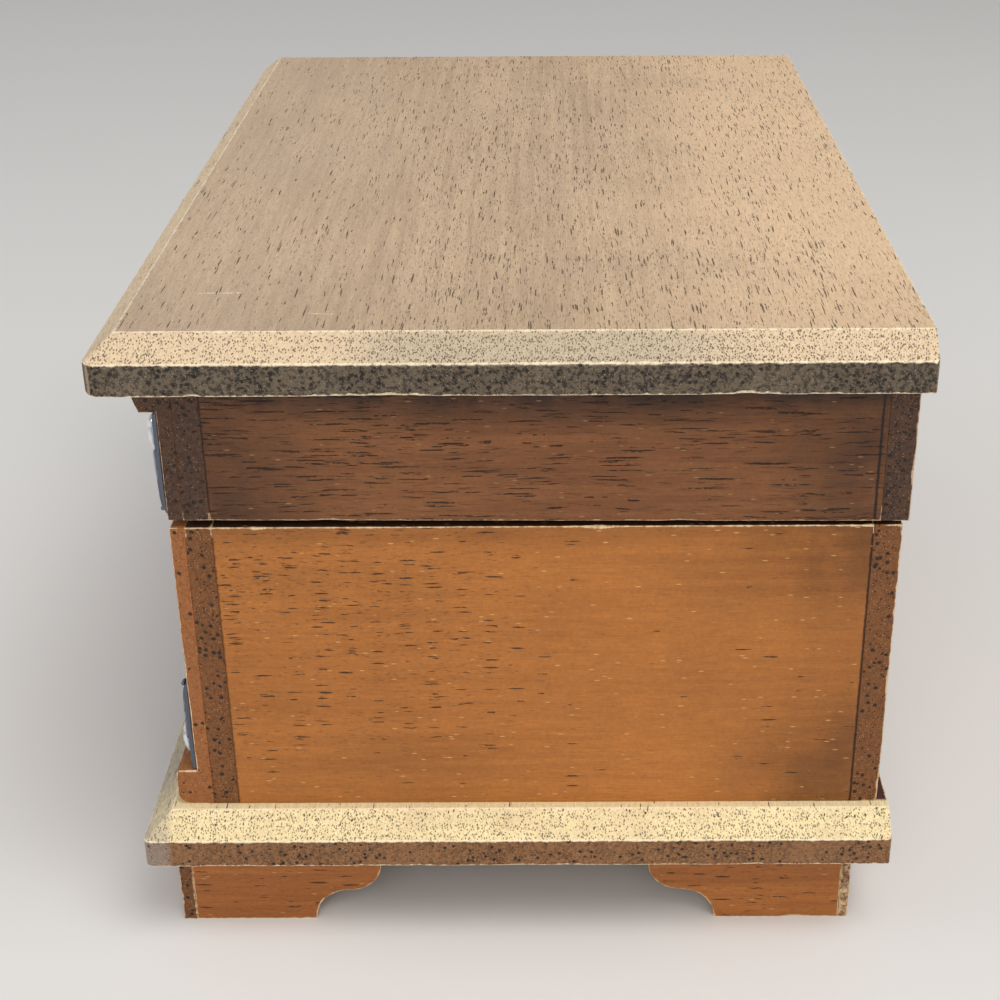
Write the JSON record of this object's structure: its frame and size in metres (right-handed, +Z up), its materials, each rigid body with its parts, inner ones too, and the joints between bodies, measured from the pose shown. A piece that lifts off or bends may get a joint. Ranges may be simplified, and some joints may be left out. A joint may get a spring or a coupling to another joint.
{
  "type": "musical jewelry box",
  "caption": "Wooden jewelry box with a hinged bevelled lid, bracket feet, metal corner mounts, lined compartments and a clockwork musical movement wound from below.",
  "frame": {"origin": "on the floor, under the middle of the lid board and the base board", "axes": "+Z up, -Y towards the front of the box, +X along its length to the right as seen from the front"},
  "size_m": [0.2266, 0.15, 0.1324],
  "materials": {
    "board_wood": "worn satin",
    "case_wood": "worn satin",
    "overlay_wood": "worn satin",
    "inner_wood": "raw",
    "mount_silver": "polished",
    "brass": "satin",
    "steel": "satin",
    "cast_metal": "as cast",
    "dark_plastic": "matt",
    "lining": "velvet",
    "cushion": "velvet",
    "felt": "felt",
    "mirror": "polished",
    "clear_plastic": "clear"
  },
  "bodies": {
    "case": {"base_board": "board_wood", "body_front_board": "case_wood", "body_back_board": "case_wood", "body_left_panel": "case_wood", "body_right_panel": "case_wood", "foot_front": "case_wood", "foot_back": "case_wood", "foot_left": "case_wood", "foot_right": "case_wood", "body_front_overlay": "overlay_wood", "foot_blocks": "inner_wood", "cover_ledges": "inner_wood", "body_ornament_left": "mount_silver", "body_ornament_right": "mount_silver", "hinge_body_leaves": "brass", "hinge_pins": "brass", "hinge_body_screws": "brass", "rod_guide": "brass", "music_comb": "steel", "comb_screws": "steel", "movement_screws": "steel", "movement_frame": "cast_metal", "governor_frame": "dark_plastic", "wall_lining": "lining", "divider_cross": "lining", "divider_music": "lining", "divider_ring": "lining", "ring_platform": "lining", "ring_cushion_1": "cushion", "ring_cushion_2": "cushion", "ring_cushion_3": "cushion", "ring_cushion_4": "cushion", "ring_cushion_5": "cushion", "floor_pad_bracelet": "cushion", "floor_pad_small": "cushion", "lid_bumpers": "felt", "music_cover": "clear_plastic"},
    "lid": {"lid_top_board": "board_wood", "lid_front_board": "case_wood", "lid_back_board": "case_wood", "lid_left_panel": "case_wood", "lid_right_panel": "case_wood", "lid_front_overlay": "overlay_wood", "lid_ornament_left": "mount_silver", "lid_ornament_right": "mount_silver", "lid_wall_lining": "lining", "lid_mirror": "mirror", "lid_mirror_surround": "cushion", "start_block": "inner_wood", "hinge_lid_leaves": "brass", "hinge_lid_screws": "brass"},
    "cylinder": {"music_cylinder": "brass", "cylinder_arbor": "steel"},
    "barrel": {"spring_barrel": "brass", "mainspring": "steel"},
    "idler": {"governor_wheel": "steel"},
    "fan": {"governor_fan": "dark_plastic"},
    "key": {"key_arbor": "steel", "winding_key": "steel"},
    "rod": {"start_rod": "steel"}
  },
  "joints": [
    {"name": "lid_hinge", "type": "hinge", "parent": "case", "child": "lid", "pos_m": [0, 0.07365, 0.09289], "axis": [-1, 0, 0], "range_deg": [0, 100]},
    {"name": "rod_slide", "type": "slide", "parent": "case", "child": "rod", "axis": [0, 0, 1], "range_m": [0, 0.004]},
    {"name": "cylinder_turn", "type": "hinge", "parent": "case", "child": "cylinder", "pos_m": [-0.074, 0.046, 0.04375], "axis": [0, 1, 0], "continuous": true},
    {"name": "barrel_turn", "type": "hinge", "parent": "case", "child": "barrel", "pos_m": [-0.074, 0.0245, 0.036], "axis": [0, 0, 1], "continuous": true},
    {"name": "idler_turn", "type": "hinge", "parent": "case", "child": "idler", "pos_m": [-0.065, 0.06, 0.04375], "axis": [0, 1, 0], "continuous": true},
    {"name": "fan_turn", "type": "hinge", "parent": "case", "child": "fan", "pos_m": [-0.0584, 0.0613, 0.045], "axis": [0, 0, 1], "continuous": true},
    {"name": "key_turn", "type": "hinge", "parent": "case", "child": "key", "pos_m": [-0.074, 0.0245, 0.01], "axis": [0, 0, -1], "continuous": true}
  ],
  "couplings": [
    {"joint": "rod_slide", "follows": "lid_hinge", "m_per_rad": 0.00229},
    {"joint": "barrel_turn", "follows": "cylinder_turn", "ratio": 0.375},
    {"joint": "idler_turn", "follows": "cylinder_turn", "ratio": -3},
    {"joint": "fan_turn", "follows": "cylinder_turn", "ratio": -60}
  ]
}
